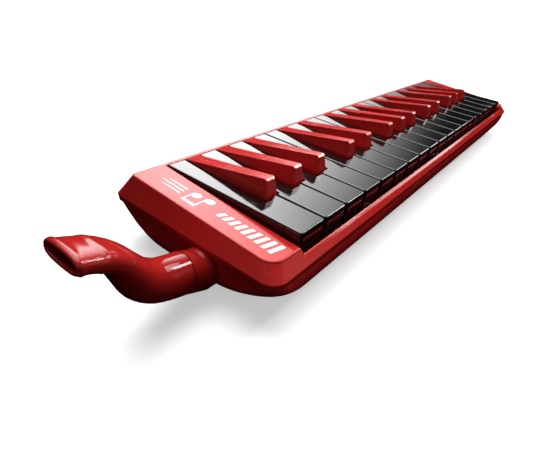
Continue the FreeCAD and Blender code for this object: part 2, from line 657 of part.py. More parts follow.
loft(bottom, hull_sections(OUTER_LEVELS), ruled=False)
lip = sketch_on(bottom, "XY_Plane", seam - 0.75)
round_rectangle(lip, -half + 1.3, half - 1.3, b_front + 1.3, b_rear - 1.3, [7.5, 7.5, 6.0, 6.0])
pad(bottom, lip, 0.75)
loft(bottom, hull_sections(INNER_LEVELS), cut=True, ruled=True)
rib = sketch_on(bottom, "XY_Plane", wall - 0.2)
rectangle(rib, -180.0, 180.0, -41.6, -38.2)
pad(bottom, rib, 17.2 - wall + 0.2)
posts = sketch_on(bottom, "XY_Plane", wall - 0.2)
for sign in (1, -1):
    circle(posts, sign * size("post_x"), size("post_front"), 4.2)
pad(bottom, posts, seam - wall + 0.2 - 0.05)
posts = sketch_on(bottom, "XY_Plane", wall - 0.2)
for sign in (1, -1):
    circle(posts, sign * size("post_x"), size("post_rear"), 4.2)
pad(bottom, posts, size("deck_top") - 2.0 - wall + 0.2 - 0.05)
holes = sketch_on(bottom, "XY_Plane", -1.0)
for sign in (1, -1):
    for y in ("Sizes.post_front", "Sizes.post_rear"):
        circle(holes, sign * size("post_x"), y, 1.5)
pocket(bottom, holes, 30.0, reverse=True)
wells = sketch_on(bottom, "XY_Plane", -1.0)
for sign in (1, -1):
    for y in ("Sizes.post_front", "Sizes.post_rear"):
        circle(wells, sign * size("post_x"), y, 3.1)
pocket(bottom, wells, 4.0, reverse=True)
arch = sketch_on(bottom, "YZ_Plane", -230.0)
circle(arch, "Sizes.pipe_y", "Sizes.boss_height", "Sizes.boss_radius + 0.05")
pocket(bottom, arch, 28.0, reverse=True)
hole = sketch_on(bottom, "XY_Plane", -1.0)
circle(hole, "Sizes.drain_x", "Sizes.drain_y", "Sizes.drain_radius + 0.1")
pocket(bottom, hole, 5.0, reverse=True)
panels = sketch_on(bottom, "XY_Plane", 0.0)
round_rectangle(panels, -165.0, -25.0, -24.0, 26.0, 10.0)
round_rectangle(panels, 25.0, 165.0, -24.0, 26.0, 10.0)
pocket(bottom, panels, 0.8, reverse=True)
keep("bottom_cover", bottom)

keep("casing_screws", *[
    screw("casing_screw_%d" % i, sx * size("post_x"), y, 3.0, 2.7, 1.9, 1.18, 27.0, up=True)
    for i, (sx, y) in enumerate([(1, size("post_front")), (-1, size("post_front")),
                                 (1, size("post_rear")), (-1, size("post_rear"))])])

# ---------------------------------------------------------------- air inlet and mouthpiece
pipe_y = size("pipe_y")


def tilted(x, z, angle):
    """Section plane across the pipe: its normal leans up by angle as the pipe leaves the casing."""
    return FreeCAD.Placement(V(pipe_y, z, x), FreeCAD.Rotation(V(1, 0, 0), angle))


socket = new_body("inlet_socket")
near = sketch_on(socket, "YZ_Plane", place=tilted(size("seam_x"), size("seam_z"), size("seam_tilt")))
circle(near, 0.0, 0.0, 9.5)
far = sketch_on(socket, "YZ_Plane", place=tilted(-217.2, size("boss_height"), 0.0))
circle(far, 0.0, 0.0, "Sizes.boss_radius")
loft(socket, [far, near])
drum = sketch_on(socket, "YZ_Plane", -217.2)
circle(drum, "Sizes.pipe_y", "Sizes.boss_height", "Sizes.boss_radius")
pad(socket, drum, 11.2)
neck = sketch_on(socket, "YZ_Plane", -206.1)
circle(neck, "Sizes.pipe_y", "Sizes.boss_height - 0.5", 8.9)
pad(socket, neck, 14.5)
bore = sketch_on(socket, "YZ_Plane", place=tilted(size("seam_x"), size("seam_z"), size("seam_tilt")))
circle(bore, 0.0, 0.0, "Sizes.socket_radius")
pocket(socket, bore, 15.0, reverse=True)
bore = sketch_on(socket, "YZ_Plane", -213.5)
circle(bore, -9.6, 11.4, 4.4)
pocket(socket, bore, 30.0, reverse=True)
keep("inlet_socket", socket)

seal = new_body("inlet_gasket")
face = sketch_on(seal, "YZ_Plane", -191.55)
circle(face, "Sizes.pipe_y", "Sizes.boss_height - 0.5", 7.6)
circle(face, -9.4, 11.2, 4.6)
pad(seal, face, 0.5)
keep("inlet_gasket", seal)

# Stations along the mouthpiece: distance along X, height, slope, half width, half height, corner.
STATIONS = [
    (size("seam_x"), size("seam_z"), size("seam_tilt"), 9.4, 9.4, 9.3),
    (-233.5, 17.6, 17.0, 9.2, 9.2, 9.1),
    (-240.6, 20.4, 28.0, 8.9, 8.9, 8.8),
    (-247.0, 25.6, 46.0, 8.9, 8.0, 7.8),
    (-251.4, 32.4, 57.0, 9.0, 6.5, 6.3),
    (-255.6, 38.9, 52.0, 9.1, 5.1, 4.9),
    (-260.8, 43.6, 34.0, 9.2, 4.0, 3.6),
    (-266.0, 46.2, 23.0, 9.3, 3.3, 2.6),
    (-272.4, 48.7, 0.0, 9.4, 3.15, 2.1),
]
mouth = new_body("mouthpiece")
skins = []
for x, z, angle, wide, high, corner in STATIONS:
    s = sketch_on(mouth, "YZ_Plane", place=tilted(x, z, angle))
    round_rectangle(s, -wide, wide, -high, high, corner)
    skins.append(s)
loft(mouth, skins, ruled=False)
spigot = sketch_on(mouth, "YZ_Plane", place=tilted(size("seam_x"), size("seam_z"), size("seam_tilt")))
circle(spigot, 0.0, 0.0, "Sizes.spigot_radius")
pad(mouth, spigot, "Sizes.spigot_length")
bores = []
for i, (x, z, angle, wide, high, corner) in enumerate(STATIONS):
    angle_r = math.radians(angle)
    if i == len(STATIONS) - 1:
        x, z = x - 0.5 * math.cos(angle_r), z + 0.5 * math.sin(angle_r)
    s = sketch_on(mouth, "YZ_Plane", place=tilted(x, z, angle))
    thick = 1.7 if i < 5 else 1.2 if i < 8 else 0.95
    inner_corner = max(corner - thick, 0.9)
    round_rectangle(s, -wide + thick, wide - thick, -high + thick, high - thick, inner_corner)
    bores.append(s)
loft(mouth, bores, cut=True, ruled=False)
hole = sketch_on(mouth, "YZ_Plane", place=tilted(size("seam_x"), size("seam_z"), size("seam_tilt")))
circle(hole, 0.0, 0.0, 4.2)
pocket(mouth, hole, 20.0, midplane=False, reverse=True)
groove_x = size("seam_x") + 6.0 * math.cos(math.radians(size("seam_tilt")))
groove_z = size("seam_z") - 6.0 * math.sin(math.radians(size("seam_tilt")))
groove = sketch_on(mouth, "YZ_Plane", place=tilted(groove_x, groove_z, size("seam_tilt")))
circle(groove, 0.0, 0.0, 9.0)
circle(groove, 0.0, 0.0, 5.08)
pocket(mouth, groove, 1.9, midplane=True)
keep("mouthpiece", mouth)

oring = new_body("spigot_ring")
section = sketch_on(oring, "XY_Plane")
circle(section, 5.97, 0.0, 0.85)
turn = feature(oring, "Revolution", "turn")
turn.Profile = section
turn.ReferenceAxis = (section, ["V_Axis"])
turn.Angle = 360.0
axis = V(math.cos(math.radians(size("seam_tilt"))), 0, -math.sin(math.radians(size("seam_tilt"))))
oring.Placement = FreeCAD.Placement(V(groove_x, pipe_y, groove_z), FreeCAD.Rotation(V(0, 1, 0), axis))
keep("spigot_ring", oring)

# ---------------------------------------------------------------- drain valve
dx, dy = size("drain_x"), size("drain_y")
button = new_body("drain_button")
face = sketch_on(button, "XY_Plane", 0.5)
circle(face, "Sizes.drain_x", "Sizes.drain_y", "Sizes.drain_radius")
pad(button, face, 4.0)
stem = sketch_on(button, "XY_Plane", 4.4)
circle(stem, "Sizes.drain_x", "Sizes.drain_y", 1.5)
pad(button, stem, 3.1)
dish = sketch_on(button, "XY_Plane", 0.5)
circle(dish, "Sizes.drain_x", "Sizes.drain_y", 2.6)
pocket(button, dish, 0.5, reverse=True)
keep("drain_button", button)

washer = new_body("drain_seal")
face = sketch_on(washer, "XY_Plane", 4.5)
circle(face, "Sizes.drain_x", "Sizes.drain_y", 6.0)
circle(face, "Sizes.drain_x", "Sizes.drain_y", 1.5)
pad(washer, face, 1.3)
keep("drain_seal", washer)

coil = new_body("drain_spring")
wire = sketch_on(coil, "XZ_Plane")
circle(wire, 2.4, 6.1, 0.25)
helix = feature(coil, "AdditiveHelix", "helix")
helix.Profile = wire
helix.ReferenceAxis = (wire, ["V_Axis"])
helix.Mode = 0
helix.Pitch = 1.9
helix.Height = 9.9
coil.Placement = FreeCAD.Placement(V(dx, dy, 0), FreeCAD.Rotation())
keep("drain_spring", coil)

# ---------------------------------------------------------------- check and export
doc.recompute()
bad = []
for item in doc.Objects:
    if "Invalid" in item.State or "Error" in item.State:
        bad.append(item.Name + " " + str(item.State))
for name, parts in nodes.items():
    for item in parts:
        if item.Shape.isNull() or not item.Shape.isValid():
            bad.append(name + " / " + item.Label + " has no valid shape")
if bad:
    raise RuntimeError("; ".join(bad))

os.makedirs("parts", exist_ok=True)
for name, parts in nodes.items():
    shapes = [item.Shape for item in parts]
    whole = shapes[0] if len(shapes) == 1 else Part.makeCompound(shapes)
    whole.exportStep(os.path.join("parts", name + ".step"))
print("nodes", len(nodes))
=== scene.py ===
import math

import bmesh
import bpy
from mathutils import Matrix, Vector
from mathutils.bvhtree import BVHTree


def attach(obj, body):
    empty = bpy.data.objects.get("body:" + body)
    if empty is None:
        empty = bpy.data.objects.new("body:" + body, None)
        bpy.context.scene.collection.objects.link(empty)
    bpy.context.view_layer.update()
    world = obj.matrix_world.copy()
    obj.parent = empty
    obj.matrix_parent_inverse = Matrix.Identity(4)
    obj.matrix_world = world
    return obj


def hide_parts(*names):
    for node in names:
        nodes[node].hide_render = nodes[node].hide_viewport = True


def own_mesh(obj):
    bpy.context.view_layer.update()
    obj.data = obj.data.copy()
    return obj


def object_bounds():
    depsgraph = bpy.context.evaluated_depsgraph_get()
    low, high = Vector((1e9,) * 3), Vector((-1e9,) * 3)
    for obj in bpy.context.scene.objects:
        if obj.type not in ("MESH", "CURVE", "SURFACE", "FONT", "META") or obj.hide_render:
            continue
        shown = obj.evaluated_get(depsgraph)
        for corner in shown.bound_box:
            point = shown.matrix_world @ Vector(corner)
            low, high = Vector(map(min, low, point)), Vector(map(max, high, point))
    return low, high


# Looks of a 32-key melodica: glossy red casing and raised keys, glossy black long keys, a red
# S-shaped mouthpiece and a plain white printed motif on the bass end.  Blender works in metres in
# the part's frame: +X towards the high notes, +Y away from the player, +Z up.

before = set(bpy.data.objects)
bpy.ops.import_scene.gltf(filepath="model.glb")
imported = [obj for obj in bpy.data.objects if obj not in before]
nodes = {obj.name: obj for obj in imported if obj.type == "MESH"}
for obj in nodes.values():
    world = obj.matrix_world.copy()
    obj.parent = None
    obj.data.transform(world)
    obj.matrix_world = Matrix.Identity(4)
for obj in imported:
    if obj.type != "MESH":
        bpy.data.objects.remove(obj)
cad_low, cad_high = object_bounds()
scene = bpy.context.scene

MM = 0.001


# ---------------------------------------------------------------- camera, light and floor

CAMERA_PLACE = Vector((-316.99, -112.07, 129.42)) * MM
CAMERA_HEADING = 32.92  # degrees from +X towards +Y
CAMERA_DOWN = 32.20  # degrees below the horizon
CAMERA_ROLL = 8.70  # degrees, right side up
CAMERA_LENS = 26.913
CAMERA_NEAR = 10.0 * MM


def pointing(heading, height):
    """The direction at a heading from +X towards +Y and a height above the horizon, in degrees."""
    heading, height = math.radians(heading), math.radians(height)
    level = math.cos(height)
    return Vector((math.cos(heading) * level, math.sin(heading) * level, math.sin(height)))


def add_camera():
    """The photograph's view: the place, then heading, tilt and roll."""
    roll = math.radians(CAMERA_ROLL)
    ahead = pointing(CAMERA_HEADING, -CAMERA_DOWN)
    level = ahead.cross(Vector((0, 0, 1))).normalized()
    above = level.cross(ahead)
    right = level * math.cos(roll) + above * math.sin(roll)
    up = above * math.cos(roll) - level * math.sin(roll)
    camera = bpy.data.objects.new("camera", bpy.data.cameras.new("camera"))
    camera.data.lens = CAMERA_LENS
    camera.data.clip_start = CAMERA_NEAR
    turned = Matrix((right, up, -ahead)).transposed().to_4x4()
    camera.matrix_world = Matrix.Translation(CAMERA_PLACE) @ turned
    scene.collection.objects.link(camera)
    scene.camera = camera


# The studio dome.  Each part is a direction it lies in, the cosines of the angle to it where it
# starts and where it is full, and its brightness there.
REAR_FLAT = ((-0.208, 0.978, 0.0), 0.0, 0.52, 6.4)
CEILING = ((0.30, 0.35, 0.89), 0.80, 0.98, 4.6)
PLAYER_SIDE = ((-0.70, -0.60, 0.45), 0.0, 1.0, 0.20)
FAR_PANEL = ((0.55, -0.78, 0.30), 0.92, 0.98, 0.6)
# Masks in the same form: the bass end of the rear flat is cut off, nothing shines from below the
# horizon, and the lower edge stands higher towards the rear so that the raised keys mirror little.
REAR_FLAT_CUT = ((1.0, 0.0, 0.0), 0.22, 0.62, 1.0)
HORIZON = ((0.0, 0.0, 1.0), -0.03, 0.03, 1.0)
RISING_EDGE = ((0.0, -0.287, 0.958), 0.02, 0.12, 1.0)


def add_world():
    """A dome with a bright flat behind the keyboard, a soft ceiling and two faint fills."""
    world = bpy.data.worlds.new("studio")
    world.use_nodes = True
    scene.world = world
    tree = world.node_tree
    place = tree.nodes.new("ShaderNodeTexCoord").outputs["Generated"]

    def lobe(direction, start, full, brightness):
        towards = tree.nodes.new("ShaderNodeVectorMath")
        towards.operation = "DOT_PRODUCT"
        tree.links.new(place, towards.inputs[0])
        towards.inputs[1].default_value = Vector(direction).normalized()
        ramp = tree.nodes.new("ShaderNodeMapRange")
        ramp.interpolation_type = "SMOOTHSTEP"
        ramp.inputs["From Min"].default_value = start
        ramp.inputs["From Max"].default_value = full
        ramp.inputs["To Min"].default_value = 0.0
        ramp.inputs["To Max"].default_value = brightness
        tree.links.new(towards.outputs["Value"], ramp.inputs["Value"])
        return ramp.outputs["Result"]

    def maths(operation, a, b):
        made = tree.nodes.new("ShaderNodeMath")
        made.operation = operation
        tree.links.new(a, made.inputs[0])
        tree.links.new(b, made.inputs[1])
        return made.outputs[0]

    rear = maths("MULTIPLY", lobe(*REAR_FLAT), lobe(*REAR_FLAT_CUT))
    fills = maths("ADD", lobe(*PLAYER_SIDE), lobe(*FAR_PANEL))
    total = maths("ADD", maths("ADD", rear, lobe(*CEILING)), fills)
    total = maths("MULTIPLY", total, lobe(*HORIZON))
    total = maths("MULTIPLY", total, lobe(*RISING_EDGE))
    background = tree.nodes["Background"]
    tree.links.new(total, background.inputs["Strength"])
    background.inputs["Color"].default_value = (1.0, 1.0, 1.0, 1.0)


# Rectangular lights: heading and height in degrees, width and depth in metres, and radiance.
SOFTBOXES = {
    "treble_softbox": (-5.0, 26.0, 1.6, 1.5, 5.0),
    "nose_softbox": (-15.0, 36.0, 0.6, 0.9, 20.0),
}
SOFTBOX_DISTANCE = 4.0
SOFTBOX_TARGET = Vector((cad_low.x + 50.0 * MM, 0.0, 30.0 * MM))  # near the bass end


def add_softbox(name, heading, height, width, depth, radiance):
    away = pointing(heading, height)
    light = bpy.data.objects.new(name, bpy.data.lights.new(name, "AREA"))
    light.data.shape = "RECTANGLE"
    light.data.size = width
    light.data.size_y = depth
    light.data.energy = radiance * math.pi * width * depth
    light.location = SOFTBOX_TARGET + away * SOFTBOX_DISTANCE
    light.rotation_mode = "QUATERNION"
    light.rotation_quaternion = (-away).to_track_quat("-Z", "Y")
    scene.collection.objects.link(light)


FLOOR_FLAT = 3.0  # radius of the level part, metres
FLOOR_RINGS = 10
FLOOR_RING_GROWTH = 1.35
FLOOR_RISE = 0.030  # height per square metre of distance past the level part
FLOOR_AROUND = 48
FLOOR_BELOW = 0.02 * MM
FLOOR_GLOW = 0.48  # keeps the shadow soft


def add_floor():
    """A pale sweep: flat under the melodica and a bowl far away, so that it fills every view."""
    verts = [Vector((0, 0, 0))]
    for ring in range(FLOOR_RINGS):
        radius = FLOOR_FLAT * FLOOR_RING_GROWTH**ring
        rise = FLOOR_RISE * (radius - FLOOR_FLAT) ** 2
        for i in range(FLOOR_AROUND):
            a = math.tau * i / FLOOR_AROUND
            verts.append(Vector((radius * math.cos(a), radius * math.sin(a), rise)))
    faces = [(0, 1 + i, 1 + (i + 1) % FLOOR_AROUND) for i in range(FLOOR_AROUND)]
    for ring in range(FLOOR_RINGS - 1):
        inner = 1 + ring * FLOOR_AROUND
        outer = inner + FLOOR_AROUND
        for i in range(FLOOR_AROUND):
            k = (i + 1) % FLOOR_AROUND
            faces.append((inner + i, outer + i, outer + k, inner + k))
    mesh = bpy.data.meshes.new("floor")
    mesh.from_pydata(verts, [], faces)
    mesh.shade_smooth()
    floor = bpy.data.objects.new("floor", mesh)
    scene.collection.objects.link(floor)
    floor.location.z = cad_low.z - FLOOR_BELOW
    finish = Finish("pale_floor", Roughness=0.9)
    finish.shader.inputs["Specular IOR Level"].default_value = 0.0
    grain = finish.noise(6.0, detail=3.0)
    finish.colour(finish.blend(grain, (0.80, 0.80, 0.80), (0.84, 0.84, 0.84)))
    finish.shader.inputs["Emission Color"].default_value = (1.0, 1.0, 1.0, 1.0)
    finish.shader.inputs["Emission Strength"].default_value = FLOOR_GLOW
    mesh.materials.append(finish.material)
    # the sweep lights nothing and isn't mirrored, so that the casing keeps its deep shades
    floor.visible_glossy = False
    floor.visible_diffuse = False
    floor.visible_shadow = False


# ---------------------------------------------------------------- material building blocks


class Finish:
    """A procedural material: one Principled shader, and the nodes that feed it."""

    def __init__(self, name, **fixed):
        self.material = bpy.data.materials.new(name)
        self.material.use_nodes = True
        self.tree = self.material.node_tree
        self.shader = self.tree.nodes["Principled BSDF"]
        self.place = self.tree.nodes.new("ShaderNodeTexCoord").outputs["Object"]
        for socket, value in fixed.items():
            self.shader.inputs[socket.replace("_", " ")].default_value = value

    def node(self, kind, **settings):
        made = self.tree.nodes.new("ShaderNode" + kind)
        for name, value in settings.items():
            setattr(made, name, value)
        return made

    def feed(self, socket, value):
        if isinstance(value, (int, float)):
            socket.default_value = value
        elif isinstance(value, tuple):
            missing = len(socket.default_value) - len(value)
            socket.default_value = value + (1.0,) * missing
        else:
            self.tree.links.new(value, socket)

    def stretched(self, x=1.0, y=1.0, z=1.0, turn=0.0):
        """The object's own coordinates, scaled along each axis and turned about Z."""
        mapping = self.node("Mapping")
        self.feed(mapping.inputs["Vector"], self.place)
        mapping.inputs["Scale"].default_value = (x, y, z)
        mapping.inputs["Rotation"].default_value[2] = math.radians(turn)
        return mapping.outputs["Vector"]

    def noise(self, per_metre, detail=2.0, roughness=0.5, vector=None):
        made = self.node("TexNoise")
        self.feed(made.inputs["Vector"], vector or self.place)
        made.inputs["Scale"].default_value = per_metre
        made.inputs["Detail"].default_value = detail
        made.inputs["Roughness"].default_value = roughness
        return made.outputs["Fac"]

    def cells(self, per_metre, feature="F1", vector=None):
        made = self.node("TexVoronoi", feature=feature)
        self.feed(made.inputs["Vector"], vector or self.place)
        made.inputs["Scale"].default_value = per_metre
        return made.outputs["Distance"]

    def ramp(self, value, start, end, low=0.0, high=1.0):
        made = self.node("MapRange", interpolation_type="SMOOTHSTEP")
        self.feed(made.inputs["Value"], value)
        made.inputs["From Min"].default_value = start
        made.inputs["From Max"].default_value = end
        made.inputs["To Min"].default_value = low
        made.inputs["To Max"].default_value = high
        return made.outputs["Result"]

    def maths(self, operation, a, b=0.0):
        made = self.node("Math", operation=operation)
        self.feed(made.inputs[0], a)
        self.feed(made.inputs[1], b)
        return made.outputs[0]

    def blend(self, share, a, b):
        made = self.node("Mix", data_type="RGBA")
        self.feed(made.inputs["Factor"], share)
        self.feed(made.inputs[6], a)
        self.feed(made.inputs[7], b)
        return made.outputs[2]

    def colour(self, value):
        self.feed(self.shader.inputs["Base Color"], value)

    def roughness(self, value):
        self.feed(self.shader.inputs["Roughness"], value)

    def edge(self, radius):
        """The normal of edges rounded by this radius."""
        made = self.node("Bevel", samples=4)
        made.inputs["Radius"].default_value = radius
        return made.outputs["Normal"]

    def relief(self, *heights, normal=None):
        """Stacks (height value, metres) pairs as bump."""
        for value, distance in heights:
            made = self.node("Bump")
            made.inputs["Strength"].default_value = 1.0
            made.inputs["Distance"].default_value = distance
            self.feed(made.inputs["Height"], value)
            if normal is not None:
                self.feed(made.inputs["Normal"], normal)
            normal = made.outputs["Normal"]
        self.feed(self.shader.inputs["Normal"], normal)


def scratches(finish, turn, per_metre, length_ratio=0.03, width=0.035):
    """Fine hairlines: 1 on a line, 0 between, broken up so that few of them are whole."""
    along = finish.stretched(1.0, length_ratio, 1.0, turn)
    lines = finish.ramp(finish.cells(per_metre, "DISTANCE_TO_EDGE", along), 0.0, width, 1.0, 0.0)
    patches = finish.ramp(finish.noise(55.0, detail=3.0), 0.52, 0.68)
    return finish.maths("MULTIPLY", lines, patches)


# ---------------------------------------------------------------- finishes


DUST = (0.55, 0.50, 0.48)


def moulded_gloss(name, light, dark, gloss, ior, shine, edge_radius, lines_turn):
    """Polished injection moulding: faint flow marks, orange peel, smudges and hairlines."""
    finish = Finish(name, IOR=ior)
    finish.shader.inputs["Specular IOR Level"].default_value = shine
    flow = finish.noise(18.0, detail=3.0, vector=finish.stretched(0.35, 1.0, 1.0))
    tint = finish.blend(finish.ramp(flow, 0.3, 0.7), dark, light)
    specks = finish.ramp(finish.cells(900.0), 0.0, 0.09, 1.0, 0.0)
    rare = finish.ramp(finish.noise(70.0), 0.60, 0.72)
    dust = finish.maths("MULTIPLY", finish.maths("MULTIPLY", specks, rare), 0.35)
    finish.colour(finish.blend(dust, tint, DUST))
    smudges = finish.ramp(finish.noise(42.0, detail=4.0, roughness=0.6), 0.45, 0.75, 0.0, 0.10)
    hairs = scratches(finish, lines_turn, 260.0)
    rough = finish.maths("ADD", smudges, finish.maths("MULTIPLY", hairs, 0.22))
    finish.roughness(finish.maths("ADD", rough, gloss))
    peel = finish.noise(260.0, detail=1.0)
    grain = finish.noise(2600.0, detail=1.0)
    finish.relief(
        (peel, 0.010 * MM),
        (grain, 0.0006 * MM),
        (hairs, -0.0012 * MM),
        normal=finish.edge(edge_radius),
    )
    return finish.material


def case_red():
    light, dark = (0.68, 0.0290, 0.0270), (0.60, 0.0230, 0.0210)
    return moulded_gloss(
        "case_red", light, dark, gloss=0.10, ior=1.50, shine=0.25, edge_radius=0.9 * MM, lines_turn=12.0
    )


def mouthpiece_red():
    light, dark = (0.40, 0.0160, 0.0150), (0.33, 0.0110, 0.0100)
    return moulded_gloss(
        "mouthpiece_red", light, dark, gloss=0.08, ior=1.50, shine=0.35, edge_radius=0.3 * MM, lines_turn=70.0
    )


def key_red():
    light, dark = (0.66, 0.0270, 0.0250), (0.58, 0.0220, 0.0200)
    return moulded_gloss(
        "key_red", light, dark, gloss=0.12, ior=1.50, shine=0.25, edge_radius=0.35 * MM, lines_turn=88.0
    )


def key_black():
    light, dark = (0.0075, 0.0078, 0.0085), (0.0050, 0.0052, 0.0060)
    return moulded_gloss(
        "key_black", light, dark, gloss=0.06, ior=1.62, shine=0.5, edge_radius=0.25 * MM, lines_turn=84.0
    )


def inner_grey():
    finish = Finish("inner_grey", IOR=1.48)
    mottle = finish.noise(60.0, detail=3.0)
    finish.colour(finish.blend(mottle, (0.30, 0.31, 0.32), (0.38, 0.39, 0.40)))
    finish.roughness(finish.ramp(finish.noise(150.0), 0.3, 0.7, 0.38, 0.52))
    finish.relief((finish.noise(1400.0, detail=2.0), 0.02 * MM))
    return finish.material


def seal_rubber():
    finish = Finish("seal_rubber", IOR=1.50)
    mottle = finish.noise(90.0, detail=3.0)
    finish.colour(finish.blend(mottle, (0.022, 0.022, 0.023), (0.045, 0.044, 0.043)))
    finish.roughness(finish.ramp(finish.noise(320.0), 0.3, 0.7, 0.55, 0.75))
    finish.relief((finish.noise(1800.0, detail=2.0), 0.03 * MM))
    return finish.material


def metal(name, light, dark, rough, brush_turn, brush_depth):
    """Metal with fine parallel tool marks and faint stains."""
    finish = Finish(name, Metallic=1.0)
    stains = finish.ramp(finish.noise(120.0, detail=4.0, roughness=0.65), 0.35, 0.75)
    finish.colour(finish.blend(stains, light, dark))
    marks = finish.noise(1500.0, detail=2.0, vector=finish.stretched(1.0, 0.02, 1.0, brush_turn))
    finish.roughness(finish.ramp(marks, 0.3, 0.7, rough, rough + 0.14))
    finish.relief((marks, brush_depth), (finish.noise(600.0), 0.002 * MM))
    return finish.material


def plate_brass():
    return metal("plate_brass", (0.72, 0.55, 0.25), (0.55, 0.39, 0.16), 0.26, 90.0, 0.004 * MM)


def reed_brass():
    return metal("reed_brass", (0.80, 0.64, 0.32), (0.66, 0.50, 0.24), 0.18, 0.0, 0.003 * MM)


def screw_steel():
    return metal("screw_steel", (0.60, 0.60, 0.62), (0.42, 0.42, 0.44), 0.22, 30.0, 0.003 * MM)


def rod_steel():
    return metal("rod_steel", (0.62, 0.62, 0.64), (0.50, 0.50, 0.52), 0.20, 90.0, 0.002 * MM)


def spring_steel():
    return metal("spring_steel", (0.50, 0.52, 0.56), (0.30, 0.33, 0.40), 0.24, 45.0, 0.002 * MM)


def stop_felt():
    finish = Finish("stop_felt", IOR=1.40)
    finish.shader.inputs["Sheen Weight"].default_value = 0.5
    finish.shader.inputs["Sheen Roughness"].default_value = 0.6
    fibres = finish.noise(900.0, detail=5.0, roughness=0.7)
    finish.colour(finish.blend(fibres, (0.22, 0.02, 0.02), (0.50, 0.09, 0.08)))
    finish.roughness(finish.ramp(fibres, 0.3, 0.7, 0.85, 0.98))
    finish.relief((fibres, 0.12 * MM))
    return finish.material


def print_white():
    """Pad-printed ink: even, slightly satin, with a few pinholes that let the red through."""
    finish = Finish("print_white", IOR=1.46)
    pinholes = finish.ramp(finish.cells(1500.0), 0.0, 0.12, 1.0, 0.0)
    worn = finish.maths("MULTIPLY", pinholes, finish.ramp(finish.noise(160.0), 0.58, 0.66))
    shade = finish.blend(finish.noise(220.0), (0.84, 0.83, 0.82), (0.90, 0.89, 0.88))
    finish.colour(finish.blend(worn, shade, (0.48, 0.10, 0.09)))
    finish.roughness(finish.ramp(finish.noise(400.0), 0.3, 0.7, 0.28, 0.40))
    finish.relief((finish.noise(1200.0), 0.003 * MM))
    return finish.material


MAKERS = {
    "case_red": case_red,
    "mouthpiece_red": mouthpiece_red,
    "key_black": key_black,
    "key_red": key_red,
    "inner_grey": inner_grey,
    "seal_rubber": seal_rubber,
    "plate_brass": plate_brass,
    "reed_brass": reed_brass,
    "screw_steel": screw_steel,
    "rod_steel": rod_steel,
    "spring_steel": spring_steel,
    "stop_felt": stop_felt,
}


def dress_nodes():
    """Gives every CAD node the finish of its material slot, and the inlet the mouthpiece's red."""
    made = {slot: maker() for slot, maker in MAKERS.items()}
    for piece in nodes.values():
        for holder in piece.material_slots:
            holder.material = made[holder.material.name.split(".")[0]]
    nodes["inlet_socket"].material_slots[0].material = made["mouthpiece_red"]
    return made


# ---------------------------------------------------------------- mouthpiece


# Stations from the seam to the lip: distance along X, height, slope, half width, half height, and
# how square the section is (2 is an ellipse).  Millimetres and degrees, as everywhere in this part.
STATIONS = [
    (-226.0, 15.8, 14.0, 9.4, 9.4, 2.0),
    (-233.5, 17.6, 17.0, 9.2, 9.2, 2.0),
    (-240.6, 20.4, 28.0, 8.9, 8.9, 2.0),
    (-247.0, 25.6, 46.0, 8.9, 8.0, 2.1),
    (-251.4, 32.4, 57.0, 9.0, 6.6, 2.2),
    (-255.6, 38.9, 52.0, 9.1, 5.4, 2.4),
    (-260.8, 43.6, 34.0, 9.2, 4.5, 2.6),
    (-266.0, 46.1, 20.0, 9.4, 3.9, 2.8),
    (-272.0, 48.3, 6.0, 9.5, 3.6, 2.9),
]
LIP = len(STATIONS) - 1
PIPE_Y = -10.0  # the pipe's middle, along Y
WALL = 1.5  # at the lip
BORE = 4.2  # radius through the spigot
SEAM_GAP = 0.15
SPIGOT_RADIUS = 6.7
SPIGOT_LENGTH = 14.0
GROOVE_RADIUS = 5.08
GROOVE = (6.95, 5.05)  # the ring's groove, as distances from the seam
# The spigot's outline from its end to the seam: radius, distance into the socket.
SPIGOT = [
    (BORE, SPIGOT_LENGTH),
    (6.4, SPIGOT_LENGTH),
    (SPIGOT_RADIUS, 13.4),
    (SPIGOT_RADIUS, GROOVE[0]),
    (GROOVE_RADIUS, GROOVE[0]),
    (GROOVE_RADIUS, GROOVE[1]),
    (SPIGOT_RADIUS, GROOVE[1]),
    (SPIGOT_RADIUS, -SEAM_GAP),
    (9.0, -SEAM_GAP),
    (9.4, -0.5),
]
AROUND = 72
RINGS_PER_STATION = 9
RIM_STEPS = 9
# The crease across the lip, and the bead at its end: place and half length in stations, height.
CREASE_AT, CREASE_HALF, CREASE_HIGH = 6.45, 0.34, 0.26
BEAD_AT, BEAD_HALF, BEAD_HIGH = LIP - 0.22, 0.16, 0.40
BORE_OPENS_BY = 4.0  # the station where the hollow has widened from the bore to the wall
THINNEST_HOLLOW = 1.9  # least half height of the hollow
CRISP_EDGE = 55.0  # edges sharper than this aren't smoothed, degrees


def station(t):
    """The section at a place along the pipe, on a smooth curve through the stations."""
    i = min(int(t), LIP - 1)
    f = t - i
    neighbours = [STATIONS[max(0, min(LIP, i + k))] for k in (-1, 0, 1, 2)]
    return [
        b + 0.5 * f * (c - a + f * (2 * a - 5 * b + 4 * c - d + f * (3 * (b - c) + d - a)))
        for a, b, c, d in zip(*neighbours)
    ]


def section(bm, x, z, slope, wide, high, square, shift=0.0):
    """A ring of vertices: a superellipse across the pipe, shifted along it."""
    slope = math.radians(slope)
    ring = []
    for k in range(AROUND):
        a = math.tau * (k + 0.5) / AROUND
        c, s = math.cos(a), math.sin(a)
        across = wide * math.copysign(abs(c) ** (2.0 / square), c)
        up = high * math.copysign(abs(s) ** (2.0 / square), s)
        place = Vector((
            x - shift * math.cos(slope) + up * math.sin(slope),
            PIPE_Y + across,
            z + shift * math.sin(slope) + up * math.cos(slope),
        ))
        ring.append(bm.verts.new(place * MM))
    return ring


